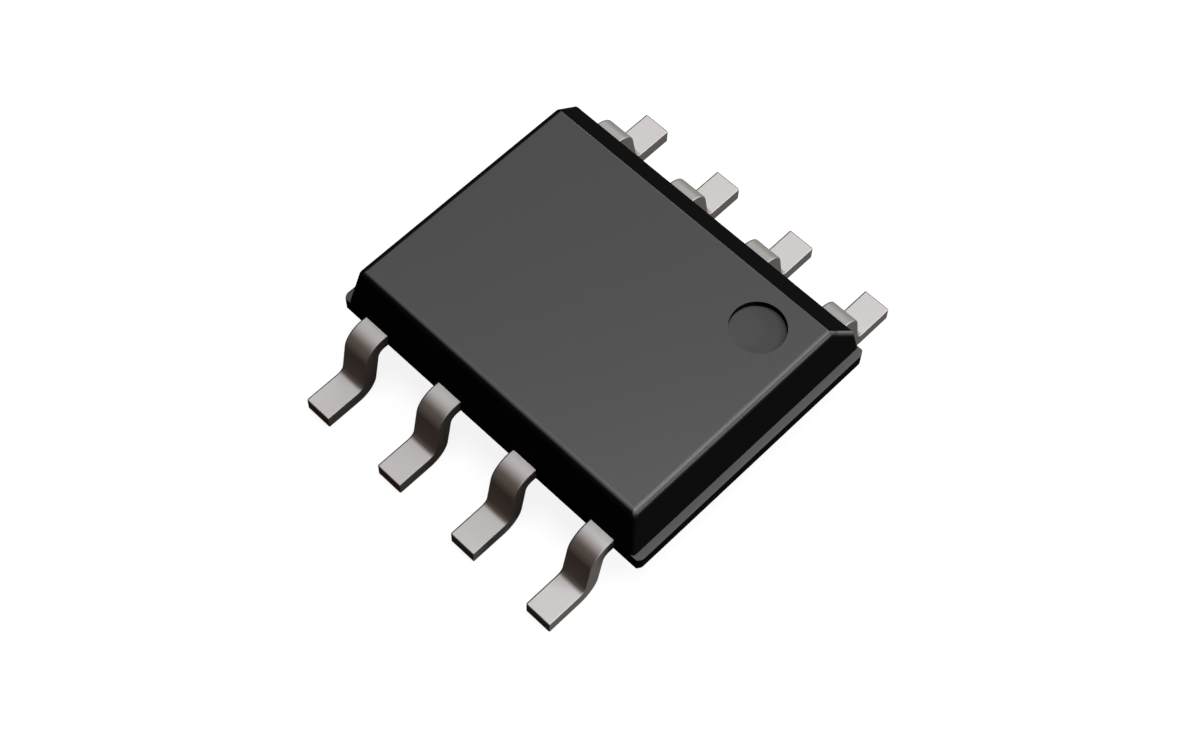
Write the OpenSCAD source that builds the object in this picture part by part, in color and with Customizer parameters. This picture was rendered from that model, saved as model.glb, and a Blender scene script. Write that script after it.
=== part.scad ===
// Adjustable voltage regulator in an eight-lead gull-wing package.
// Millimetres. The origin is on the board, under the middle of the package:
// +X runs along the long side towards pin 1 and pin 8, +Y towards pins 1 to 4, +Z up.
// Pin 1 is the input, pins 2, 3, 6 and 7 the output, pin 4 the adjust pin,
// and pins 5 and 8 aren't connected.

/* [Moulded body] */
// Length over the flange that runs round the body at lead height
body_length = 5.0; // [4.8:0.05:5.2]
// Width over the same flange
body_width = 3.9; // [3.8:0.05:4.0]
// Height of the top face above the board
body_top = 1.68; // [1.55:0.01:1.75]
// Gap between the board and the underside
standoff = 0.15; // [0.1:0.01:0.25]
// Slope of the walls above the flange, in degrees
upper_draft = 10; // [6:1:12]
// Slope of the walls below the flange, in degrees
lower_draft = 12; // [6:1:14]
// How far the flange stands out past the upper half at each short end
end_ledge = 0.1; // [0.05:0.01:0.15]
// How far the lower half is set back under the flange, all round
under_ledge = 0.1; // [0.05:0.01:0.15]
// Radius of the moulded edges
edge_r = 0.1; // [0.05:0.01:0.12]
// Radius of the flange's four corners
flange_r = 0.08; // [0.05:0.01:0.12]
// Height of the 45 degree chamfer along the pin 1 side
chamfer_drop = 0.39; // [0.25:0.01:0.5]

/* [Pin 1 dimple] */
// Diameter of the round recess that marks pin 1
dimple_d = 0.7; // [0.5:0.05:0.9]
// Depth of the recess
dimple_depth = 0.1; // [0.05:0.01:0.15]
// Distance of its centre from the middle, along the body
dimple_x = 1.6; // [1.4:0.05:1.7]
// Distance of its centre from the middle, across the body
dimple_y = 0.95; // [0.8:0.05:1.0]

/* [Ejector marks] */
// Diameter of the two round marks that the mould's ejector pins leave underneath
ejector_d = 0.8; // [0.5:0.05:1.0]
// Depth of the marks
ejector_depth = 0.03; // [0.02:0.01:0.05]
// Distance of each mark from the middle, along the body
ejector_x = 1.4; // [1.0:0.05:1.6]

/* [Leads] */
// Distance over the tips of opposite feet
lead_span = 6.0; // [5.8:0.05:6.2]
// Distance from lead to lead
pitch = 1.27; // [1.27]
// Width of a lead
lead_width = 0.39; // [0.31:0.01:0.51]
// Thickness of the leadframe strip
lead_thickness = 0.22; // [0.17:0.01:0.25]
// Height of the upper face of the leads where they leave the body
lead_top = 0.96; // [0.9:0.01:1.0]
// Flat run of a foot, from its tip to the start of the bend
foot_run = 0.5; // [0.4:0.01:0.55]
// Lean of the risers towards the body, in degrees
riser_lean = 10.5; // [5:0.5:15]
// Inside radius of every bend
bend_r = 0.1; // [0.08:0.01:0.15]

/* [Die pad] */
// Length of the pad that carries the die
pad_length = 2.2; // [2.0:0.05:2.3]
// Width of the pad
pad_width = 1.9; // [1.6:0.05:2.0]
// How far the pad lies below the leads
pad_downset = 0.2; // [0.15:0.01:0.25]
// Slope of the two steps down to the pad, in degrees
downset_slope = 45; // [35:5:55]
// Width of the arms that join the pad to its leads
arm_width = 0.6; // [0.5:0.02:0.7]
// Gap between the pad and the bonding paddles beside it
paddle_gap = 0.28; // [0.2:0.01:0.32]
// Length of a bonding paddle
paddle_length = 1.2; // [1.0:0.05:1.3]
// Diameter of the hole that locks each paddle into the moulding
lock_hole_d = 0.26; // [0.2:0.01:0.3]

/* [Die and wires] */
// Length of the silicon die
die_length = 1.4; // [1.2:0.05:1.6]
// Width of the die
die_width = 1.2; // [1.0:0.05:1.3]
// Thickness of the die
die_thickness = 0.28; // [0.2:0.01:0.32]
// Thickness of the adhesive under the die
attach_thickness = 0.03; // [0.02:0.005:0.04]
// How far the adhesive shows round the die
attach_margin = 0.04; // [0.02:0.01:0.06]
// Diameter of the gold bond wires
wire_d = 0.033; // [0.025:0.001:0.05]
// Height of the wire loops' control points above the die
loop_height = 0.3; // [0.2:0.01:0.35]

/* [Hidden] */
$fn = 64;

lead_bottom = lead_top - lead_thickness;
mid_r = bend_r + lead_thickness / 2;
inner_x = pitch / 2;
outer_x = 3 * pitch / 2;
past = 1;
hair = 0.0001;

// Half sizes of the moulding where its walls meet the flange and its flat faces
upper_rise = body_top - lead_top;
lower_rise = lead_bottom - standoff;
upper_half_length = body_length / 2 - end_ledge;
lower_half_length = body_length / 2 - under_ledge;
lower_half_width = body_width / 2 - under_ledge;
upper_taper = upper_rise * tan(upper_draft);
lower_taper = lower_rise * tan(lower_draft);
chamfer_run = chamfer_drop * (1 - tan(upper_draft));

// Levels of the stack on the die pad
pad_top = lead_top - pad_downset;
die_base = pad_top + attach_thickness;
die_top = die_base + die_thickness;

// The bent strip, as runs (a length) and bends (an angle, positive upwards)
riser_turn = 90 - riser_lean;
riser_run = (lead_bottom - 2 * mid_r * (1 - cos(riser_turn))) / sin(riser_turn);
gull_wing_reach = foot_run + 2 * mid_r * sin(riser_turn) + riser_run * cos(riser_turn);
shoulder_start = lead_span / 2 - gull_wing_reach;
step_run = (pad_downset - 2 * mid_r * (1 - cos(downset_slope))) / sin(downset_slope);
step_reach = 2 * mid_r * sin(downset_slope) + step_run * cos(downset_slope);
arm_end = pad_width / 2 + step_reach;

// The bonding paddles beside the pad. They and the pad's arms reach out to paddle_y
paddle_in = pad_length / 2 + paddle_gap;
paddle_shoulder = 0.025;
paddle_out = outer_x + lead_width / 2 + paddle_shoulder;
paddle_y = 1.6;
paddle_corner = 0.25;
lock_hole_x = outer_x - 0.12;
lock_hole_y = 0.35 - paddle_y;
arm_overlap = 0.25;

// Where the wires are bonded: balls near the die's edge, stitches on paddles and arms
bond_inset = 0.12;
ball_x = die_length / 2 - bond_inset;
ball_y = die_width / 2 - bond_inset;
outer_ball_y = 0.42;
inner_ball_y = 0.2;
output_ball_x = 0.45;
stitch_x = paddle_in + 0.2;
outer_stitch_y = 0.85;
inner_stitch_y = 0.6;
adjust_stitch_y = 0.75;
output_stitch_x = 0.6;
output_stitch_y = 0.13 - paddle_y;

// The shape of a bond wire: a ball, a loop of rings, and a flat stitch
wire_sides = 8;
loop_rings = 12;
ball_r = 0.042;
ball_height = 0.04;
reach_of_arch = 0.55;
last_ring = 0.93;
stitch_half_width = 0.036;
stitch_half_length = 0.05;
stitch_thickness = 0.008;
wire_root = 0.02;

body_colour = [0.1, 0.1, 0.1];
tin_colour = [0.72, 0.7, 0.69];
copper_colour = [0.85, 0.55, 0.4];
silicon_colour = [0.35, 0.38, 0.45];
adhesive_colour = [0.75, 0.75, 0.7];
gold_colour = [0.95, 0.75, 0.3];

// ---- Plane shapes ----

function unit(v) = v / norm(v);

// How far a corner's round starts from the corner, between neighbours a and b
function tangent_run(a, p, b, r) =
    let (u = unit(a - p), v = unit(b - p))
    r / tan(acos(u * v) / 2);

// The centre of that round
function round_centre(a, p, b, r) =
    let (u = unit(a - p), v = unit(b - p))
    p + unit(u + v) * r / sin(acos(u * v) / 2);

function xy(c) = [c[0], c[1]];

// An outline of corners [x, y, radius], with true arcs at its convex rounded corners
module rounded_outline(corners) {
    n = len(corners);
    polygon([
        for (i = [0 : n - 1])
            let (a = xy(corners[(i + n - 1) % n]), p = xy(corners[i]),
                 b = xy(corners[(i + 1) % n]), r = corners[i][2])
            for (q = r == 0 ? [p] : [p + unit(a - p) * tangent_run(a, p, b, r),
                                     p + unit(b - p) * tangent_run(a, p, b, r)])
                q
    ]);
    for (i = [0 : n - 1])
        if (corners[i][2] > 0)
            translate(round_centre(xy(corners[(i + n - 1) % n]), xy(corners[i]),
                                   xy(corners[(i + 1) % n]), corners[i][2]))
                circle(r = corners[i][2]);
}

module rounded_rectangle(length, width, r) {
    x = length / 2;
    y = width / 2;
    rounded_outline([[x, -y, r], [x, y, r], [-x, y, r], [-x, -y, r]]);
}

// Part of a ring about the origin, from one angle to another less than 180 degrees on
module ring_sector(r_in, r_out, from, to) {
    far = 2 * r_out;
    middle = (from + to) / 2;
    intersection() {
        difference() {
            circle(r = r_out);
            circle(r = r_in);
        }
        polygon([[0, 0],
                 far * [cos(from), sin(from)],
                 far * [cos(middle), sin(middle)],
                 far * [cos(to), sin(to)]]);
    }
}

// The side view of a bent strip that starts at the origin and runs towards +X. Each run
// reaches a hair into its neighbours, so that they join whatever the numbers round to
module bent_strip(steps, i = 0) {
    if (i < len(steps)) {
        if (steps[i][0] == "run") {
            before = i > 0 ? hair : 0;
            translate([-before, -lead_thickness / 2])
                square([before + steps[i][1] + hair, lead_thickness]);
            translate([steps[i][1], 0]) bent_strip(steps, i + 1);
        } else {
            turn = steps[i][1];
            side = sign(turn);
            translate([0, side * mid_r])
                ring_sector(bend_r, bend_r + lead_thickness,
                            min(0, turn) - side * 90, max(0, turn) - side * 90);
            translate([mid_r * sin(abs(turn)), side * mid_r * (1 - cos(turn))])
                rotate(turn) bent_strip(steps, i + 1);
        }
    }
}

// ---- Leads ----

// Stands a side view up in the YZ plane, as wide as the strip, centred at x
module across(x, width) {
    translate([x, 0, 0]) rotate([90, 0, 90])
        linear_extrude(height = width, center = true) children();
}

// A lead outside the body, on the -Y side, with its shoulder reaching in to y = -inside
module gull_wing(x, inside) {
    across(x, lead_width)
        translate([-lead_span / 2, lead_thickness / 2])
            bent_strip([["run", foot_run], ["bend", riser_turn], ["run", riser_run],
                        ["bend", -riser_turn], ["run", shoulder_start - inside]]);
}

// A lead at the corner next to +X and -Y, with its bonding paddle inside the body
module corner_lead() {
    gull_wing(outer_x, paddle_y);
    translate([0, 0, lead_bottom]) linear_extrude(height = lead_thickness)
        difference() {
            polygon([[paddle_in + paddle_corner, -paddle_y], [paddle_out, -paddle_y],
                     [paddle_out, -paddle_y + paddle_length],
                     [paddle_in, -paddle_y + paddle_length],
                     [paddle_in, -paddle_y + paddle_corner]]);
            translate([lock_hole_x, lock_hole_y]) circle(d = lock_hole_d);
        }
}

// One lead of the die pad, on the -Y side: gull wing, wider arm and step down to the pad
module pad_lead(x) {
    gull_wing(x, paddle_y);
    across(x, arm_width)
        translate([-paddle_y, lead_top - lead_thickness / 2])
            bent_strip([["run", paddle_y - arm_end], ["bend", -downset_slope],
                        ["run", step_run], ["bend", downset_slope], ["run", arm_overlap]]);
}

module output_leadframe() {
    color(tin_colour) {
        for (x = [-inner_x, inner_x]) {
            pad_lead(x);
            mirror([0, 1, 0]) pad_lead(x);
        }
        translate([0, 0, pad_top - lead_thickness]) linear_extrude(height = lead_thickness)
            rounded_rectangle(pad_length, pad_width, bend_r);
    }
}

module input_lead() {
    color(tin_colour) mirror([0, 1, 0]) corner_lead();
}

module adjust_lead() {
    color(tin_colour) mirror([1, 0, 0]) mirror([0, 1, 0]) corner_lead();
}

module unused_lead_pin_5() {
    color(tin_colour) mirror([1, 0, 0]) corner_lead();
}

module unused_lead_pin_8() {
    color(tin_colour) corner_lead();
}

// ---- Die ----

module die_attach() {
    color(adhesive_colour) translate([0, 0, pad_top])
        linear_extrude(height = attach_thickness)
            rounded_rectangle(die_length + 2 * attach_margin, die_width + 2 * attach_margin,
                              attach_margin);
}

module regulator_die() {
    color(silicon_colour) translate([-die_length / 2, -die_width / 2, die_base])
        cube([die_length, die_width, die_thickness]);
}

// ---- Bond wires ----

function bezier(p, t) =
    pow(1 - t, 3) * p[0] + 3 * t * pow(1 - t, 2) * p[1]
    + 3 * t * t * (1 - t) * p[2] + pow(t, 3) * p[3];

function bezier_tangent(p, t) =
    unit(pow(1 - t, 2) * (p[1] - p[0]) + 2 * t * (1 - t) * (p[2] - p[1])
         + t * t * (p[3] - p[2]));

// A ring of points about c, with half sizes a along u and b along v
function ring(c, u, v, a, b) = [
    for (k = [0 : wire_sides - 1])
        let (angle = (k + 0.5) * 360 / wire_sides)
        c + a * cos(angle) * u + b * sin(angle) * v
];

// A wire from a ball at start, on the die, to a flat stitch at end, on a lead.
// Its cavity in the moulding is cut with a root, which carries both ends a little
// further down, because the die and the lead are cut out of the moulding there too.
module bond_wire(start, end, root) {
    ahead = unit([end[0] - start[0], end[1] - start[1], 0]);
    side = cross([0, 0, 1], ahead);
    neck = start + [0, 0, ball_height];
    control = [neck, neck + [0, 0, loop_height],
               neck + reach_of_arch * (end - neck) + [0, 0, loop_height], end];
    ball = [
        for (b = [[-root, ball_r], [ball_height / 2, ball_r]])
            ring(start + [0, 0, b[0]], side, -ahead, b[1], b[1])
    ];
    loop = [
        for (i = [0 : loop_rings - 1])
            let (t = last_ring * i / (loop_rings - 1), along = bezier_tangent(control, t))
            ring(bezier(control, t), side, cross(along, side), wire_d / 2, wire_d / 2)
    ];
    stitch = [
        for (z = [stitch_thickness, -root])
            ring(end + [0, 0, z], side, ahead, stitch_half_width, stitch_half_length)
    ];
    rings = concat(ball, loop, stitch);
    n = wire_sides;
    color(gold_colour) polyhedron(
        points = [for (r = rings) for (p = r) p],
        faces = concat(
            [[for (k = [0 : n - 1]) k]],
            [for (i = [0 : len(rings) - 2]) for (k = [0 : n - 1])
                [i * n + k, (i + 1) * n + k, (i + 1) * n + (k + 1) % n, i * n + (k + 1) % n]],
            [[for (k = [n - 1 : -1 : 0]) (len(rings) - 1) * n + k]]));
}

module input_wire_outer(root = 0) {
    bond_wire([ball_x, outer_ball_y, die_top], [stitch_x, outer_stitch_y, lead_top], root);
}

module input_wire_inner(root = 0) {
    bond_wire([ball_x, inner_ball_y, die_top], [stitch_x, inner_stitch_y, lead_top], root);
}

module adjust_wire(root = 0) {
    bond_wire([-ball_x, outer_ball_y, die_top], [-stitch_x, adjust_stitch_y, lead_top], root);
}

module output_wire_pin_6(root = 0) {
    bond_wire([-output_ball_x, -ball_y, die_top],
              [-output_stitch_x, output_stitch_y, lead_top], root);
}

module output_wire_pin_7(root = 0) {
    bond_wire([output_ball_x, -ball_y, die_top],
              [output_stitch_x, output_stitch_y, lead_top], root);
}

// ---- Moulded body ----

// The moulding seen from its long side, as [x, z, radius] for x > 0, from the bottom up
function end_corners() = [
    [lower_half_length - lower_taper, standoff, edge_r],
    [lower_half_length, lead_bottom, 0],
    [body_length / 2, lead_bottom, 0],
    [body_length / 2, lead_top, 0],
    [upper_half_length, lead_top, 0],
    [upper_half_length - upper_taper, body_top, edge_r]
];

function reversed(list) = [for (i = [len(list) - 1 : -1 : 0]) list[i]];
function mirrored(list) = [for (c = reversed(list)) [-c[0], c[1], c[2]]];

module long_section() {
    rounded_outline(concat(end_corners(), mirrored(end_corners())));
}

// The moulding seen from its short end, as [y, z, radius]: the chamfer is on the +Y side
module cross_section() {
    half = body_width / 2;
    lower_side = [
        [lower_half_width - lower_taper, standoff, edge_r],
        [lower_half_width, lead_bottom, 0],
        [half, lead_bottom, 0],
        [half, lead_top, 0]
    ];
    chamfered_top = [
        [half - upper_taper + chamfer_drop * tan(upper_draft), body_top - chamfer_drop, 0],
        [half - upper_taper - chamfer_run, body_top, 0]
    ];
    rounded_top = [[upper_taper - half, body_top, edge_r]];
    rounded_outline(concat(lower_side, chamfered_top, rounded_top, mirrored(lower_side)));
}

module moulding() {
    intersection() {
        rotate([90, 0, 0])
            linear_extrude(height = body_width + past, center = true) long_section();
        rotate([90, 0, 90])
            linear_extrude(height = body_length + past, center = true) cross_section();
        linear_extrude(height = body_top + past)
            rounded_rectangle(body_length, body_width, flange_r);
    }
}

module package_body() {
    color(body_colour) difference() {
        moulding();
        translate([dimple_x, dimple_y, body_top - dimple_depth])
            cylinder(d = dimple_d, h = dimple_depth + past);
        for (x = [-ejector_x, ejector_x])
            translate([x, 0, standoff - past]) cylinder(d = ejector_d, h = ejector_depth + past);
        output_leadframe();
        input_lead();
        adjust_lead();
        unused_lead_pin_5();
        unused_lead_pin_8();
        die_attach();
        regulator_die();
        input_wire_outer(wire_root);
        input_wire_inner(wire_root);
        adjust_wire(wire_root);
        output_wire_pin_6(wire_root);
        output_wire_pin_7(wire_root);
    }
}

package_body();
output_leadframe();
input_lead();
adjust_lead();
unused_lead_pin_5();
unused_lead_pin_8();
die_attach();
regulator_die();
input_wire_outer();
input_wire_inner();
adjust_wire();
output_wire_pin_6();
output_wire_pin_7();
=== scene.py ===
# %% [markdown]
# # An adjustable voltage regulator, dressed for its portrait
#
# The part is a small chip in a package that stands on eight bent leads. A CAD model
# already holds its real size and its inner pieces. This lesson gives it its looks:
# a moulded epoxy body with soft edges, leads bent from one strip and plated with tin,
# and a plain studio round them.
#
# Everything is in metres, so sizes are written in millimetres times `MM`. The CAD model
# comes in as a fixed frame. Nothing in it is moved: a new piece is made where the frame
# says, and stands in for the CAD solid of the same shape.

# %% Load the fixed frame
import math

import bmesh
import bpy
from mathutils import Euler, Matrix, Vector


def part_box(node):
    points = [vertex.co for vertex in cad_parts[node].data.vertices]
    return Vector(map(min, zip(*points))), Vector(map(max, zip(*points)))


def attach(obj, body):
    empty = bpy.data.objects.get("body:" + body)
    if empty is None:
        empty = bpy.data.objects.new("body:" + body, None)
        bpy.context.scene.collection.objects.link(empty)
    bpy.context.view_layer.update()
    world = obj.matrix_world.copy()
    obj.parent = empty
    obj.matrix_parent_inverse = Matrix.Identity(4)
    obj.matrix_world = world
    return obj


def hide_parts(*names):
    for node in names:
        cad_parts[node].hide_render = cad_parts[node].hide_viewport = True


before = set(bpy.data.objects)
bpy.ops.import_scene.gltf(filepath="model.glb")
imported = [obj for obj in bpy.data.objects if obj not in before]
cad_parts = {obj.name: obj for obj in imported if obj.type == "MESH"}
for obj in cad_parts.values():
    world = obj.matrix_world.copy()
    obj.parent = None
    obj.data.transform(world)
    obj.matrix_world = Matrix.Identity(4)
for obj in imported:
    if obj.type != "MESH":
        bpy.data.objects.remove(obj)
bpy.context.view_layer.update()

MM = 0.001
print("nodes:", ", ".join(sorted(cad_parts)))

# %% [markdown]
# ## Sizes
#
# The frame gives what it can: the corners of a node's box. The few sizes that a box
# can't give, such as the thickness of the lead strip, are named here once, as in the
# CAD model.

# %% Sizes from the frame, and the few that a box can't give
body_low, body_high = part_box("package_body")
lead_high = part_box("output_leadframe")[1]
paddle_low, paddle_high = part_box("unused_lead_pin_8")
pad_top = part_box("die_attach")[0][2]

half_length = body_high[0]
half_width = body_high[1]
body_top = body_high[2]
body_bottom = body_low[2]
half_span = lead_high[1]
lead_top = lead_high[2]
half_pad_length = lead_high[0]

strip = 0.22 * MM                # the thickness of the copper strip
lead_width = 0.39 * MM
pitch = 1.27 * MM                # from lead to lead
inner_x = pitch / 2              # the middle of pins 2 and 7
outer_x = 3 * inner_x            # the middle of pins 1 and 8
foot_run = 0.5 * MM              # the flat length of a foot
bend_r = 0.1 * MM                # the inside of every bend
lean = math.radians(10.5)        # of a riser, from upright
half_pad_width = 0.95 * MM
arm_width = 0.6 * MM             # of the arms that join the pad to its leads
step_slope = math.radians(45)    # of an arm where it steps down to the pad
lead_bottom = lead_top - strip

upper_draft = math.radians(10)   # how far the walls lean in, above the flange
lower_draft = math.radians(12)   # and below it
ledge = 0.1 * MM                 # how far the flange stands out
chamfer_y = 1.5 * MM             # where the chamfer starts on the top
recess_depth = 0.1 * MM
print("body", round(2 * half_length / MM, 2), "x", round(2 * half_width / MM, 2), "mm")

# %% [markdown]
# ## A few small helpers
#
# Blender's operators act on whatever is selected, so a script that works like a hand
# needs two habits: clear the selection before adding a shape, and say in so many words
# which faces or edges the next operator may touch.

# %% Add a primitive, select a piece, and apply a modifier
MERGE = 1e-7    # corners closer than this, in metres, are one
CUT = 1e-8      # a cut this close to a corner goes through it


def select_only(piece):
    """Selects this piece and nothing else, and makes it the active one."""
    bpy.ops.object.select_all(action="DESELECT")
    piece.select_set(True)
    bpy.context.view_layer.objects.active = piece


def new_piece(name, add, **settings):
    """Adds a primitive with nothing else selected, and puts its place into its mesh."""
    bpy.ops.object.select_all(action="DESELECT")
    add(**settings)
    piece = bpy.context.active_object
    piece.name = piece.data.name = name
    bpy.ops.object.transform_apply(location=True, rotation=True, scale=True)
    return piece


def apply(piece, kind, **settings):
    """Adds a modifier to the piece, sets it up, and applies it."""
    bpy.context.view_layer.objects.active = piece
    modifier = piece.modifiers.new(kind.title(), kind)
    for key, value in settings.items():
        setattr(modifier, key, value)
    bpy.ops.object.modifier_apply(modifier=modifier.name)


# %% Select faces or edges by rule
SQUARE = 0.9    # a face looks along an axis when its normal has more than this of it


def pick(kind, rule):
    """In edit mode, selects the faces or the edges that the rule says yes to."""
    mesh = bmesh.from_edit_mesh(bpy.context.active_object.data)
    bpy.ops.mesh.select_mode(type={"faces": "FACE", "edges": "EDGE"}[kind])
    bpy.ops.mesh.select_all(action="DESELECT")
    mesh.normal_update()
    chosen = [part for part in getattr(mesh, kind) if rule(part)]
    for part in chosen:
        part.select_set(True)
    mesh.select_flush_mode()
    bmesh.update_edit_mesh(bpy.context.active_object.data)
    return len(chosen)


def middle(part):
    """The middle of a face or an edge."""
    return sum((v.co for v in part.verts), Vector()) / len(part.verts)


def near(a, b):
    """Whether two places along an axis are the same, to 0.002 mm."""
    return abs(a - b) < 0.002 * MM


def upright_at(x, y):
    """A rule for the upright edge at this place."""
    return lambda edge: all(near(v.co.x, x) and near(v.co.y, y) for v in edge.verts)


# %% [markdown]
# ## The moulded body
#
# Black epoxy is pressed round the leadframe between two mould halves. They part at the
# leads, where a thin flange runs round the body, as thick as the leads. Above and below
# it the walls lean in, so that the mould lets go.
#
# The body starts as the flange, a flattened cube. Its faces are then inset, cut and
# drawn out, up and down, which keeps one closed skin all the way.

# %% The flange, and the lower half drawn down from it
body = new_piece("moulded_body", bpy.ops.mesh.primitive_cube_add, size=1,
                 location=(0, 0, lead_bottom + strip / 2),
                 scale=(2 * half_length, 2 * half_width, strip))
bpy.ops.object.mode_set(mode="EDIT")


def draw_out(rise, half_x, half_y, draft):
    """Extrudes the selected face up or down, and shrinks it by the draft."""
    lean_in = abs(rise) * math.tan(draft)
    bpy.ops.mesh.extrude_region_move(TRANSFORM_OT_translate={"value": (0, 0, rise)})
    bpy.ops.transform.resize(value=(1 - lean_in / half_x, 1 - lean_in / half_y, 1))


pick("faces", lambda f: f.normal.z < -SQUARE)
bpy.ops.mesh.inset(thickness=ledge)
draw_out(body_bottom - lead_bottom, half_length - ledge, half_width - ledge, lower_draft)

# %% The upper half, between two cuts that leave a ledge at each short end
for side in (-1, 1):
    pick("faces", lambda f: f.normal.z > SQUARE)
    bpy.ops.mesh.bisect(plane_co=(side * (half_length - ledge), 0, 0), plane_no=(1, 0, 0),
                        threshold=CUT)
pick("faces", lambda f: f.normal.z > SQUARE and abs(middle(f).x) < half_length / 2)
draw_out(body_top - lead_top, half_length - ledge, half_width, upper_draft)

# %% The chamfer along the side of pins 1 to 4
bpy.ops.mesh.select_all(action="SELECT")
bpy.ops.mesh.bisect(plane_co=(0, chamfer_y, body_top), plane_no=(0, 1, 1),
                    use_fill=True, clear_outer=True, threshold=CUT)
bpy.ops.object.mode_set(mode="OBJECT")
print("body before rounding:", len(body.data.polygons), "faces")

# %% [markdown]
# ### Rounding the edges
#
# The body's edges are rounded, each by its own radius: 0.1 mm round the top and the
# underside, less at the upright corners, and next to nothing along the chamfer. A bevel
# weight on each edge says how much of the modifier's width it takes.
#
# For a round of radius r between two faces, the bevel starts r / tan(half the angle
# between them) from the edge.

# %% The radius of each edge
rim_r = 0.1 * MM               # round the top and the underside
corner_r = 0.05 * MM           # the upright corners of the two halves
flange_corner_r = 0.08 * MM    # the upright corners of the flange
flange_r = 0.006 * MM          # the level edges of the flange at its short ends
chamfer_r = 0.012 * MM         # the long edges of the chamfer
chamfer_end_r = 0.065 * MM     # the sloping edges at its ends


def bevel_start(radius, edge):
    """How far from the edge a round of this radius starts."""
    inner_angle = math.pi - edge.calc_face_angle()
    return radius / math.tan(inner_angle / 2)


def edge_radius(edge):
    """The radius that an edge of the moulding is rounded by."""
    place, run = middle(edge), (edge.verts[0].co - edge.verts[1].co).normalized()
    upright = abs(run.z) > SQUARE
    if near(place.y + place.z, chamfer_y + body_top):
        return chamfer_r if abs(run.x) > SQUARE else chamfer_end_r
    if upright:
        return flange_corner_r if lead_bottom < place.z < lead_top else corner_r
    if near(place.z, body_top) or near(place.z, body_bottom):
        return rim_r
    return flange_r if near(abs(place.x), half_length) else 0


# %% Weigh the edges, then bevel them all at once
full_width = 0.1 * MM          # the bevel of an edge that weighs 1
bpy.ops.object.mode_set(mode="EDIT")
mesh = bmesh.from_edit_mesh(body.data)
weight = mesh.edges.layers.float.new("bevel_weight_edge")
for edge in mesh.edges:
    radius = edge_radius(edge)
    if radius:
        edge[weight] = bevel_start(radius, edge) / full_width
bmesh.update_edit_mesh(body.data)
bpy.ops.object.mode_set(mode="OBJECT")
apply(body, "BEVEL", limit_method="WEIGHT", width=full_width, segments=8,
      face_strength_mode="FSTR_ALL")
print("body after rounding:", len(body.data.polygons), "faces")

# %% [markdown]
# ### The pin 1 recess and the ejector marks
#
# A shallow round recess in the top marks pin 1. Underneath, two wider and flatter marks
# are left by the pins that push the part out of the mould. Each is cut by taking a
# cylinder away, and then its edges are softened, as a moulded edge is.


# %% Cut a shallow round recess
def cut_recess(piece, x, y, face_z, radius, depth, rim):
    """Cuts a round recess into a flat face at face_z, and softens its edges.

    A depth below 0 cuts upwards, into the underside.
    """
    cutter = new_piece("cutter", bpy.ops.mesh.primitive_cylinder_add, vertices=96,
                       radius=radius, depth=2 * abs(depth), location=(x, y, face_z))
    apply(piece, "BOOLEAN", object=cutter, operation="DIFFERENCE", solver="EXACT")
    bpy.data.objects.remove(cutter)
    select_only(piece)
    bpy.ops.object.mode_set(mode="EDIT")

    def on_circle(edge, z):
        return all(near(math.hypot(v.co.x - x, v.co.y - y), radius) and near(v.co.z, z)
                   for v in edge.verts)

    edges = pick("edges", lambda e: on_circle(e, face_z) or on_circle(e, face_z - depth))
    bpy.ops.mesh.bevel(offset=rim, segments=3, face_strength_mode="AFFECTED")
    bpy.ops.object.mode_set(mode="OBJECT")
    return edges


recess_x, recess_y, recess_r = 1.6 * MM, 0.95 * MM, 0.35 * MM
ejector_x, ejector_r, ejector_depth = 1.4 * MM, 0.4 * MM, 0.03 * MM
softened = cut_recess(body, recess_x, recess_y, body_top, recess_r, recess_depth,
                      rim=0.003 * MM)
for x in (-ejector_x, ejector_x):
    cut_recess(body, x, 0, body_bottom, ejector_r, -ejector_depth, rim=0.006 * MM)
print("pin 1 recess cut, with", softened, "edges softened")

# %% [markdown]
# ## The leads
#
# All leads are stamped from one copper strip and bent after moulding. The bend that
# makes a gull wing is two equal turns with a leaning riser between them: out of the
# body, down, and out again into a flat foot.
#
# Each lead is made from the inside out. Its inner part is a cut and shaped plate, and
# from the face where it narrows to a lead, the strip is drawn on: extrude for a
# straight run, spin for a bend.


# %% Draw the strip on from the selected face
def run(length, slope):
    """Draws the selected face on, outwards (towards -Y) and down at the slope."""
    move = (0, -length * math.cos(slope), -length * math.sin(slope))
    bpy.ops.mesh.extrude_region_move(TRANSFORM_OT_translate={"value": move})


def face_centre():
    """The middle of the selected face."""
    mesh = bmesh.from_edit_mesh(bpy.context.active_object.data)
    return middle(next(f for f in mesh.faces if f.select))


def bend(from_slope, to_slope, steps=10):
    """Spins the selected face round a bend, from one downward slope to another."""
    turn = to_slope - from_slope
    down = math.copysign(1, turn)
    side = Vector((0, math.sin(from_slope), -math.cos(from_slope))) * down
    centre = face_centre() + side * (bend_r + strip / 2)
    bpy.ops.mesh.spin(steps=steps, angle=-turn, center=centre, axis=(1, 0, 0))


def gull_wing():
    """From a lead's face inside the body: shoulder, bend, riser, bend and foot."""
    middle_r = bend_r + strip / 2
    steep = math.pi / 2 - lean
    riser = (lead_bottom - 2 * middle_r * (1 - math.cos(steep))) / math.sin(steep)
    reach = foot_run + 2 * middle_r * math.sin(steep) + riser * math.cos(steep)
    run(half_span - reach + face_centre().y, 0)
    bend(0, steep)
    run(riser, steep)
    bend(steep, 0)
    run(foot_run, 0)


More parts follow.
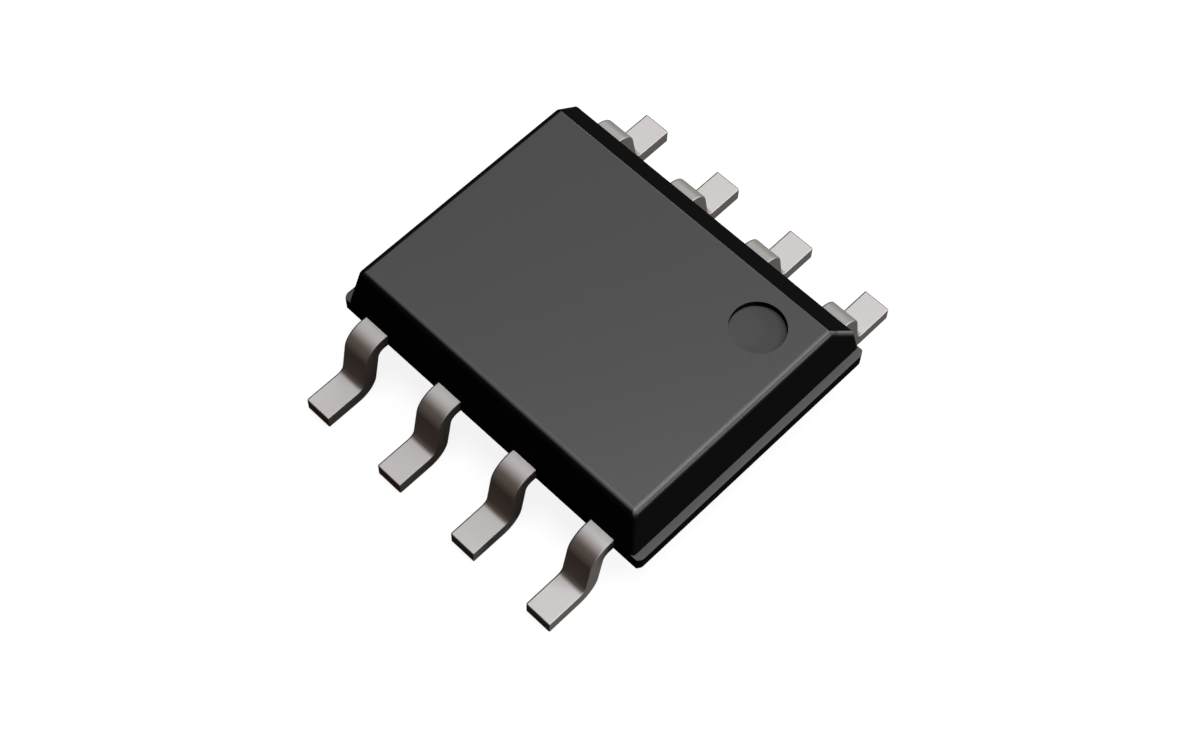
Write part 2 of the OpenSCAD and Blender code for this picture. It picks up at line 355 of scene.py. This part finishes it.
def narrow_to(width, x):
    """Cuts the selected end face on both sides of x, and keeps the middle selected."""
    y = face_centre().y

    def on_end(face):
        return face.normal.y < -SQUARE and near(middle(face).y, y)

    for side in (-1, 1):
        pick("faces", on_end)
        bpy.ops.mesh.bisect(plane_co=(x + side * width / 2, 0, 0), plane_no=(1, 0, 0),
                            threshold=CUT)
    pick("faces", lambda f: on_end(f) and near(middle(f).x, x))


# %% [markdown]
# ### The lead at a corner
#
# Inside the body each corner lead ends in a paddle, where its wire is bonded. A hole in
# the paddle fills with epoxy and locks it. The paddle is a flattened cube with the hole
# taken out by a cylinder and one corner taken off by a bevel.

# %% Pin 8: the paddle, and the gull wing drawn on from its end
paddle_in, paddle_out = paddle_low[0], paddle_high[0]
paddle_y, paddle_length = 1.6 * MM, 1.2 * MM
corner_cut = 0.25 * MM
hole_x, hole_y, hole_r = outer_x - 0.12 * MM, 0.35 * MM - paddle_y, 0.13 * MM

lead_8 = new_piece("lead_pin_8", bpy.ops.mesh.primitive_cube_add, size=1,
                   location=((paddle_in + paddle_out) / 2, paddle_length / 2 - paddle_y,
                             lead_top - strip / 2),
                   scale=(paddle_out - paddle_in, paddle_length, strip))
lock_hole = new_piece("lock_hole", bpy.ops.mesh.primitive_cylinder_add, vertices=32,
                      radius=hole_r, depth=2 * strip, location=(hole_x, hole_y, lead_top))
apply(lead_8, "BOOLEAN", object=lock_hole, operation="DIFFERENCE", solver="EXACT")
bpy.data.objects.remove(lock_hole)

bpy.ops.object.mode_set(mode="EDIT")
pick("edges", upright_at(paddle_in, -paddle_y))
bpy.ops.mesh.bevel(offset=corner_cut, segments=1)
pick("faces", lambda f: f.normal.y < -SQUARE and near(middle(f).y, -paddle_y))
narrow_to(lead_width, outer_x)
gull_wing()
bpy.ops.object.mode_set(mode="OBJECT")
print("lead of pin 8:", len(lead_8.data.polygons), "faces")

# %% [markdown]
# ### The output leads and their pad
#
# Pins 2, 3, 6 and 7 are one piece with the pad that carries the die. The pad lies
# lower than the leads, so each arm rises from it in two bends. All four quarters are
# alike, so one quarter is drawn, with its inner sides left open, and a Mirror modifier on
# two axes closes it into the whole piece.

# %% A quarter of the output leadframe
pad_downset = lead_top - pad_top
pad_corner_r = 0.1 * MM
frame_piece = new_piece("output_leads_and_pad", bpy.ops.mesh.primitive_cube_add, size=1,
                        location=(half_pad_length / 2, -half_pad_width / 2,
                                  pad_top - strip / 2),
                        scale=(half_pad_length, half_pad_width, strip))
bpy.ops.object.mode_set(mode="EDIT")
pick("faces", lambda f: f.normal.x < -SQUARE or f.normal.y > SQUARE)
bpy.ops.mesh.delete(type="FACE")
pick("edges", upright_at(half_pad_length, -half_pad_width))
bpy.ops.mesh.bevel(offset=pad_corner_r, segments=6)

pick("faces", lambda f: f.normal.y < -0.999)    # the flat end, not the round corner
narrow_to(arm_width, inner_x)
step_run = ((pad_downset - 2 * (bend_r + strip / 2) * (1 - math.cos(step_slope)))
            / math.sin(step_slope))
bend(0, -step_slope, steps=6)
run(step_run, -step_slope)
bend(-step_slope, 0, steps=6)
run(paddle_y + face_centre().y, 0)
narrow_to(lead_width, inner_x)
gull_wing()
bpy.ops.object.mode_set(mode="OBJECT")
apply(frame_piece, "MIRROR", use_axis=(True, True, False), merge_threshold=MERGE)
print("output leads and pad:", len(frame_piece.data.polygons), "faces")

# %% [markdown]
# ### Soft edges, smooth bends, and the three other corners
#
# Stamping and plating leave the strip's edges 0.016 mm round. The bevel takes only edges
# sharper than 30 degrees, so the bends stay as they are, and smooth shading then hides
# their facets. Its clamp is off: the bends' short facets would hold every edge of the
# piece back to a fraction of that radius. Weighted normals keep the flat faces flat.
# They are reckoned from the faces' areas, which are too small in square metres, so the
# piece is made a thousand times larger for that step, and then small again.
#
# The other three corner leads are copies of pin 8's, turned over by a scale of -1.
# That turns a skin inside out, so its normals are worked out again.


# %% Soften the strips and copy the corner lead
def grow(piece, factor):
    """Scales the selected piece about the origin, into its mesh."""
    piece.scale = (factor, factor, factor)
    bpy.ops.object.transform_apply(scale=True)


def smooth(piece):
    """Shades the piece smooth. Faces that a bevel calls strong keep their own normals."""
    select_only(piece)
    bpy.ops.object.shade_smooth_by_angle(angle=math.radians(35))
    grow(piece, 1 / MM)
    apply(piece, "WEIGHTED_NORMAL", keep_sharp=True, use_face_influence=True)
    grow(piece, MM)


def tidy_skin(piece):
    """Merges doubled corners, and points every face outwards."""
    select_only(piece)
    bpy.ops.object.mode_set(mode="EDIT")
    bpy.ops.mesh.select_all(action="SELECT")
    bpy.ops.mesh.remove_doubles(threshold=MERGE)
    bpy.ops.mesh.normals_make_consistent(inside=False)
    bpy.ops.object.mode_set(mode="OBJECT")


def mirrored(piece, name, across_x, across_y):
    """A copy of the piece, with a mesh of its own, on the other side of the middle."""
    select_only(piece)
    bpy.ops.object.duplicate()
    copy = bpy.context.active_object
    copy.name = copy.data.name = name
    bpy.ops.object.mode_set(mode="EDIT")
    bpy.ops.mesh.select_all(action="SELECT")
    bpy.ops.transform.resize(value=(-1 if across_x else 1, -1 if across_y else 1, 1),
                             center_override=(0, 0, 0))
    bpy.ops.object.mode_set(mode="OBJECT")
    tidy_skin(copy)
    return copy


lead_edge = 0.016 * MM
for piece in (lead_8, frame_piece):
    tidy_skin(piece)
    apply(piece, "BEVEL", limit_method="ANGLE", angle_limit=math.radians(30),
          width=lead_edge, segments=3, use_clamp_overlap=False,
          face_strength_mode="FSTR_ALL")
lead_1 = mirrored(lead_8, "lead_pin_1", False, True)
lead_4 = mirrored(lead_8, "lead_pin_4", True, True)
lead_5 = mirrored(lead_8, "lead_pin_5", True, False)
leads = [frame_piece, lead_1, lead_4, lead_5, lead_8]
for piece in leads:
    smooth(piece)
tidy_skin(body)
smooth(body)
print("pieces:", [piece.name for piece in [body] + leads])

# %% [markdown]
# ## Writing materials
#
# A material is a small recipe of nodes. Two classes keep it readable. `Finish.node` adds
# any node with its settings and its sockets, and gives back a `Value`. Sums on a `Value`
# add Math nodes, so shader maths is written as ordinary sums.
#
# A `Finish` also has a word for what most recipes need: where a point lies and which way
# it faces, grain, relief, a mix of colours, a plain skin and a blend of two.


# %% A value that can be reckoned with
class Value:
    """One output of a node. Sums on it add Math nodes."""

    def __init__(self, finish, socket):
        self.finish, self.socket = finish, socket

    def reckon(self, operation, first, second):
        """The Math node that all sums come down to."""
        return self.finish.node("Math", {"operation": operation}, {0: first, 1: second})

    def __add__(self, other):
        return self.reckon("ADD", self, other)

    def __sub__(self, other):
        return self.reckon("SUBTRACT", self, other)

    def __rsub__(self, other):
        return self.reckon("SUBTRACT", other, self)

    def __mul__(self, other):
        return self.reckon("MULTIPLY", self, other)

    def __abs__(self):
        return self.reckon("ABSOLUTE", self, 0.0)

    __radd__ = __add__
    __rmul__ = __mul__

    def at_most(self, other):
        """The smaller of the two."""
        return self.reckon("MINIMUM", self, other)

    def at_least(self, other):
        """The larger of the two."""
        return self.reckon("MAXIMUM", self, other)

    def step(self, low, high, kind="SMOOTHSTEP"):
        """Goes from 0 at low to 1 at high, and stays there. Low may be the larger."""
        return self.finish.node("MapRange", {"interpolation_type": kind},
                                {"Value": self, "From Min": low, "From Max": high})


# %% A material or a world to write it in
class Finish:
    """A material or a world, written node by node."""

    def __init__(self, owner):
        self.owner = owner
        owner.use_nodes = True
        self.tree = owner.node_tree
        self.tree.nodes.clear()

    def node(self, kind, settings=None, sockets=None, output=0):
        """Adds a node, first with its settings and then with what its sockets hold."""
        made = self.tree.nodes.new("ShaderNode" + kind)
        for key, value in (settings or {}).items():
            setattr(made, key, value)
        for key, value in (sockets or {}).items():
            if isinstance(value, Value):
                self.tree.links.new(value.socket, made.inputs[key])
            else:
                made.inputs[key].default_value = value
        return Value(self, made.outputs[output]) if made.outputs else made

    def coordinate(self, kind, axis):
        """One axis of a point's place, Object, or of the way it faces, Normal."""
        source = self.node("TexCoord", output=kind)
        return self.node("SeparateXYZ", {}, {0: source}, output=axis)

    def mix(self, amount, first, second):
        """Goes from the first colour to the second as the amount goes from 0 to 1."""
        return self.node("Mix", {"data_type": "RGBA"}, {0: amount, 6: first, 7: second},
                         output=2)

    def noise(self, scale, detail=2.0):
        """Fine random grain, in the piece's own coordinates."""
        place = self.node("TexCoord", output="Object")
        return self.node("TexNoise", {}, {"Vector": place, "Scale": scale,
                                          "Detail": detail})

    def bump(self, height, distance, strength):
        """Relief of this depth, in metres, as a normal."""
        return self.node("Bump", {}, {"Height": height, "Distance": distance,
                                      "Strength": strength})

    def skin(self, colour, roughness, specular, normal):
        """A plain shader of one gloss."""
        return self.node("BsdfPrincipled", {}, {
            "Base Color": colour, "Roughness": roughness,
            "Specular IOR Level": specular, "Normal": normal})

    def blend(self, amount, first, second):
        """Goes from the first shader to the second as the amount goes from 0 to 1."""
        return self.node("MixShader", {}, {0: amount, 1: first, 2: second})

    def wear(self, shader):
        """Gives the shader to the surface."""
        self.node("OutputMaterial", {}, {"Surface": shader})


def grey(level, warmth=0.0):
    """A grey in linear light. Warmth takes a little green and blue away."""
    return (level, level * (1 - warmth), level * (1 - 1.1 * warmth), 1)


BLACK, WHITE = grey(0.0), grey(1.0)

# %% [markdown]
# ## Moulding compound
#
# The black epoxy is one compound all over, but its colour is painted by the way each
# point faces. The top and the underside are matt and dark grey. The leaning walls and the
# chamfer have no gloss and are nearly black, which is painted shade. The matt dark grey
# runs on over the rounded edges, farthest at the end by pins 1 and 8, and it is painted
# paler on the rounds there, a painted highlight. The ledge where the mould halves part and
# the floor of the pin 1 recess have no gloss at all, and are painted a much paler grey, a
# painted sheen.
#
# The recipe asks each point which way it faces, in the piece's own coordinates. The
# normal's Z is 1 on a flat face and small on a wall, and its X tells one end from the
# other. Soft steps on them give the part that is matt and painted lit, which mixes the two
# finishes and their colours, so the painted shade and highlight come from these steps.
# The height above the board tells the ledge and the recess from the rest. Fine grain is
# laid over all of it.

# %% Black epoxy: where it is matt and painted lit, painted paler on the rounds, or rough
epoxy = Finish(bpy.data.materials.new("moulding_compound"))
along, across, up = [epoxy.coordinate("Normal", axis) for axis in "XYZ"]
up = abs(up)
height = epoxy.coordinate("Object", "Z")

# The spread fades the matt, painted lit grey out over the rounds, and later where they
# face +Y.
spread = (up + across * 0.175 + abs(across) * 0.225).step(0.25, 0.93, "LINEAR")
# Painted light: grey on the top and on the rounds that lean to pins 1 and 8, painted shade
# on the walls.
matt_and_painted_light = (up + along).step(0.74, 0.97) * spread * spread * spread
# A painted highlight: the rounds under the matt skin are painted a paler grey than the
# top.
round_highlight = up.step(0.985, 0.94)
on_ledge = abs(height - lead_top).step(0.2 * MM, 0.05 * MM)
in_recess = abs(height - (body_top - recess_depth)).step(0.05 * MM, 0.03 * MM)

# %% Black epoxy: its colours, grain and gloss
# The walls' near black is painted shade. The top's grey is the lit copy of the same epoxy.
matt_lit_grey, round_highlight_grey, wall_shade_grey = grey(0.012), grey(0.034), grey(0.005)
# The ledge and the recess floor are painted far paler than the top, a painted sheen in
# place of gloss.
ledge_sheen_grey, recess_sheen_grey = grey(0.095), grey(0.078)

grain = epoxy.noise(45000)
cloud = epoxy.noise(900, detail=4.0)
shade = 0.85 + grain * 0.18 + cloud * 0.12
colour = epoxy.mix(round_highlight, matt_lit_grey, round_highlight_grey)
colour = epoxy.mix(on_ledge, colour, ledge_sheen_grey)
colour = epoxy.mix(in_recess, colour, recess_sheen_grey)
colour = epoxy.mix(matt_and_painted_light, wall_shade_grey, colour)
colour = epoxy.mix(shade, BLACK, colour)
matt = epoxy.skin(colour, roughness=0.34, specular=0.5,
                  normal=epoxy.bump(grain, distance=1.2e-6, strength=0.5))
polished = epoxy.skin(colour, roughness=0.5, specular=0.0,
                      normal=epoxy.bump(grain, distance=0.6e-6, strength=0.5))
epoxy.wear(epoxy.blend(matt_and_painted_light * (1.0 - on_ledge - in_recess), polished, matt))
print("epoxy has", len(epoxy.tree.nodes), "nodes")

# %% [markdown]
# ## Tinned copper
#
# The leads are plated with matt tin, a pale grey, and their colour is painted by the way
# each point faces. The flat runs of the strip have a satin gloss and the pale grey, and so
# do the edges that lean towards pins 1 and 8, where the pale grey is a painted highlight.
# Round the bends the tin is dull and painted brown, which is painted shade. The bends on
# the side of pins 1 to 4 and the sides that face pins 1 and 8 are duller and painted a
# greyer tone, lighter on those bends as painted light. The shoulders are painted paler
# beside the body, painted light where the body throws shade.
#
# A thin dark line is painted along the top edge of each lead on the side of pins 4 and 5,
# and along the top edges of the tips of pins 1 to 4. It is painted shade where the rounded
# edge turns from the light. The leads repeat every 1.27 mm, so the distance to that edge
# comes from a ping-pong of X with half that length. Fine grain and faint drawing lines run
# over all of it.

# %% Matt tin: where it is painted lit, painted shaded or painted paler by the body
tin = Finish(bpy.data.materials.new("tinned_copper"))
along, across, up = [tin.coordinate("Normal", axis) for axis in "XYZ"]
x = tin.coordinate("Object", "X")
reach = abs(tin.coordinate("Object", "Y"))

# The open side is flat, or leans towards pins 1 and 8. What is turned back faces +Y, as
# the bends of pins 1 to 4 do.
open_side = abs(up) + along * 0.4
bright = open_side.step(0.69, 0.97, "LINEAR")
turned_back = across.step(0.02, 0.2) * along.step(0.3, 0.1)
# The sides that face pins 1 and 8 get a painted grey of their own, set by which way they
# face.
end_facing = along.step(0.3, 0.8)
# Painted light: beside the body the shoulders are painted paler, against the shade the
# body casts there.
by_body_run = 0.14 * MM
by_body = reach.step(half_width + by_body_run, half_width)

# %% Matt tin: the painted dark line of shade at the edges
# Painted shade: a dark line along each lead's edge on the side of pins 4 and 5.
shade_line_x = inner_x - lead_width / 2
shade_line_in, shade_line_out, tip_out = 0.017 * MM, 0.022 * MM, 0.023 * MM    # where it fades

from_shade_line = tin.node("Math", {"operation": "PINGPONG"}, {0: x - shade_line_x, 1: inner_x})
at_tip = turned_back * reach.step(half_span - tip_out, half_span - shade_line_in)
edge_shade = (from_shade_line.step(shade_line_out, shade_line_in) + at_tip).at_most(1.0) * up.step(0.1, 0.4)

# %% Matt tin: its colours, grain and gloss
pale_tin, by_body_light_tin, edge_shade_grey = (0.515, 0.500, 0.505, 1), grey(0.74), grey(0.04)
# The brown bend colour is painted shade. The lighter back bend colour is painted light.
shaded_bend_brown = (0.156, 0.133, 0.116, 1)
lit_back_bend_grey = (0.21, 0.203, 0.19, 1)
end_facing_grey = (0.142, 0.134, 0.124, 1)

grain = tin.noise(60000, detail=3.0)
drawn_out = tin.node("VectorMath", {"operation": "MULTIPLY"}, {
    0: tin.node("TexCoord", output="Object"), 1: (60000, 2500, 60000)})
lines = tin.node("TexNoise", {}, {"Vector": drawn_out, "Scale": 1.0, "Detail": 2.0})
shade = 0.88 + grain * 0.16 + lines * 0.08
# The painted lit part gets the pale grey: the flats, and the edges that lean to pins 1 and
# 8 as a painted highlight.
painted_lit_part = bright * bright * (1.0 - turned_back * 0.75) * (1.0 - edge_shade)
colour = tin.mix(turned_back, shaded_bend_brown, lit_back_bend_grey)
colour = tin.mix(end_facing, colour, end_facing_grey)
colour = tin.mix(edge_shade, colour, edge_shade_grey)
colour = tin.mix(painted_lit_part, colour, tin.mix(by_body, pale_tin, by_body_light_tin))
colour = tin.mix(shade, BLACK, colour)
relief = tin.bump(grain + lines * 0.6, distance=1.5e-6, strength=0.4)
satin = tin.skin(colour, roughness=0.33, specular=0.4, normal=relief)
dull = tin.skin(colour, roughness=0.6, specular=0.0, normal=relief)
glossy = open_side.step(0.75, 0.95) * (1.0 - turned_back * 0.6) * (1.0 - edge_shade)
tin.wear(tin.blend(glossy, dull, satin))
print("tin has", len(tin.tree.nodes), "nodes")

# %% [markdown]
# ## What is inside
#
# The die, its adhesive and the bond wires stay as the CAD model has them. They are
# hidden in the moulding, and seen only where the part is opened, so their recipes are
# short: silver-filled adhesive with bright specks, blue-grey silicon with the metal
# tracks of its circuit, and drawn gold wire.

# %% Silver-filled adhesive
adhesive = Finish(bpy.data.materials.new("die_adhesive"))
flakes = adhesive.noise(30000, detail=3.0)
adhesive.wear(adhesive.node("BsdfPrincipled", {}, {
    "Base Color": adhesive.mix(flakes, grey(0.30, 0.03), grey(0.62, 0.03)),
    "Metallic": 0.5,
    "Roughness": 0.75 - flakes * 0.4,
    "Normal": adhesive.bump(flakes, distance=2e-6, strength=0.6)}))

# %% Silicon with the tracks of its circuit
silicon = Finish(bpy.data.materials.new("silicon"))
tracks = silicon.node("TexBrick", {"offset": 0.37, "squash": 0.6, "squash_frequency": 3}, {
    "Vector": silicon.node("TexCoord", output="Object"), "Scale": 4000.0,
    "Mortar Size": 0.04, "Color1": (0.16, 0.19, 0.24, 1), "Color2": (0.11, 0.14, 0.20, 1),
    "Mortar": (0.40, 0.40, 0.42, 1)})
dust = silicon.noise(40000)
silicon.wear(silicon.node("BsdfPrincipled", {}, {
    "Base Color": silicon.mix(dust * 0.25, tracks, grey(0.08)),
    "Metallic": 0.3,
    "Roughness": 0.2 + dust * 0.2}))

# %% Gold wire
gold = Finish(bpy.data.materials.new("gold_wire"))
drawn = gold.noise(90000)
gold.wear(gold.node("BsdfPrincipled", {}, {
    "Base Color": gold.mix(drawn, (0.80, 0.50, 0.16, 1), (0.95, 0.66, 0.27, 1)),
    "Metallic": 1.0,
    "Roughness": 0.2 + drawn * 0.15}))
print("finishes:", [finish.owner.name for finish in (epoxy, tin, adhesive, silicon, gold)])

# %% [markdown]
# ## Who wears what
#
# Every piece rides on the one body of the model. The dressed moulding and leads stand
# in for their CAD solids, and the inner solids are shown as they are.

# %% Finishes, slots and what replaces what
dressed = {
    "package_body": (body, epoxy, "moulding_compound"),
    "output_leadframe": (frame_piece, tin, "tinned_copper"),
    "input_lead": (lead_1, tin, "tinned_copper"),
    "adjust_lead": (lead_4, tin, "tinned_copper"),
    "unused_lead_pin_5": (lead_5, tin, "tinned_copper"),
    "unused_lead_pin_8": (lead_8, tin, "tinned_copper"),
}
for node, (piece, finish, slot) in dressed.items():
    piece.data.materials.clear()
    piece.data.materials.append(finish.owner)
    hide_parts(node)
    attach(piece, "root")

inner = {"die_attach": adhesive, "regulator_die": silicon}
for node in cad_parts:
    finish = gold if "wire" in node else inner.get(node)
    if finish:
        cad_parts[node].material_slots[0].material = finish.owner
print("shown from the CAD model:", sorted(set(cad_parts) - set(dressed)))

# %% [markdown]
# ## The camera
#
# It looks at the part along a diagonal and from well above, with a long lens that is
# shifted a little to frame the part.


# %% Place the camera
def stand(name, data, azimuth, elevation, distance, aim=Vector()):
    """Adds a camera or a lamp that looks at the aim, from these angles in degrees."""
    turn, lift = math.radians(azimuth), math.radians(elevation)
    outward = Vector((math.sin(turn) * math.cos(lift), -math.cos(turn) * math.cos(lift),
                      math.sin(lift)))
    holder = bpy.data.objects.new(name, data)
    bpy.context.scene.collection.objects.link(holder)
    holder.location = aim + outward * distance
    holder.rotation_euler = Euler((math.pi / 2 - lift, 0, turn))
    return holder


camera = stand("camera", bpy.data.cameras.new("camera"), azimuth=45, elevation=61.24,
               distance=28.054 * MM, aim=Vector((-0.354, -0.479, -0.048)) * MM)
camera.data.lens = 67.62
camera.data.shift_x = 0.0388
camera.data.clip_start = 0.1 * MM
bpy.context.scene.camera = camera
print("camera at, in mm:", [round(place / MM, 2) for place in camera.location])

# %% [markdown]
# ## The studio
#
# A plain floor and four soft lamps, which together light a flat face to about the colour
# its recipe has. The broad lamp overhead gives most of it. The key lamp, higher up at the
# end by pins 1 and 8, draws the light along the rounded edge there. The side lamp stands
# low at that end, and lights the leads' cut sides. A weak fill comes from behind. The
# front gets only what is left over, so it stays dark and warm.
#
# The background is white where the camera, a reflection or a clear body sees it, and
# dim where it would light the part, so that the part's colours stay as they are
# written. The floor is treated alike, and keeps a soft shadow. It lies a thousandth of a
# millimetre under the feet, so that no two faces share a place.


# %% Floor and world
def seen(finish):
    """1 for the rays that show the background, 0 for those that carry light."""
    camera_ray, glossy_ray, through_ray = [
        finish.node("LightPath", output=name)
        for name in ("Is Camera Ray", "Is Glossy Ray", "Is Transmission Ray")]
    return camera_ray.at_least(glossy_ray.at_least(through_ray))


floor_gap, floor_r = 0.001 * MM, 150 * MM
floor = new_piece("floor", bpy.ops.mesh.primitive_circle_add, vertices=96, radius=floor_r,
                  fill_type="NGON", location=(0, 0, -floor_gap))
paper = Finish(bpy.data.materials.new("paper"))
white = paper.node("AddShader", {}, {
    0: paper.node("BsdfDiffuse", {}, {"Color": grey(0.2)}),
    1: paper.node("Emission", {}, {"Color": WHITE, "Strength": 0.88})})
unlit = paper.node("BsdfDiffuse", {}, {"Color": grey(0.04)})
paper.wear(paper.blend(seen(paper), unlit, white))
floor.data.materials.append(paper.owner)

world = Finish(bpy.data.worlds.new("studio"))
dusk = world.node("Background", {}, {"Color": (1.0, 0.5, 0.28, 1), "Strength": 0.068})
day = world.node("Background", {}, {"Color": WHITE, "Strength": 1.0})
world.node("OutputWorld", {}, {"Surface": world.blend(seen(world), dusk, day)})
bpy.context.scene.world = world.owner
bpy.context.scene.view_settings.view_transform = "Standard"


# %% Lamps
def lamp(name, azimuth, elevation, size_x, size_y, power):
    """A rectangular lamp half a metre from the part, size_x wide and size_y high."""
    light = bpy.data.lights.new(name, "AREA")
    light.shape = "RECTANGLE"
    light.size, light.size_y, light.energy = size_x, size_y, power
    stand(name, light, azimuth, elevation, distance=0.5)
    print("lamp", name, "of", power, "W")


lamp("overhead", azimuth=160, elevation=85, size_x=0.25, size_y=0.25, power=1.70)
lamp("key", azimuth=127, elevation=55, size_x=0.20, size_y=0.20, power=0.72)
lamp("side", azimuth=118, elevation=15, size_x=0.20, size_y=0.12, power=1.48)
lamp("back_fill", azimuth=205, elevation=20, size_x=0.20, size_y=0.20, power=0.60)
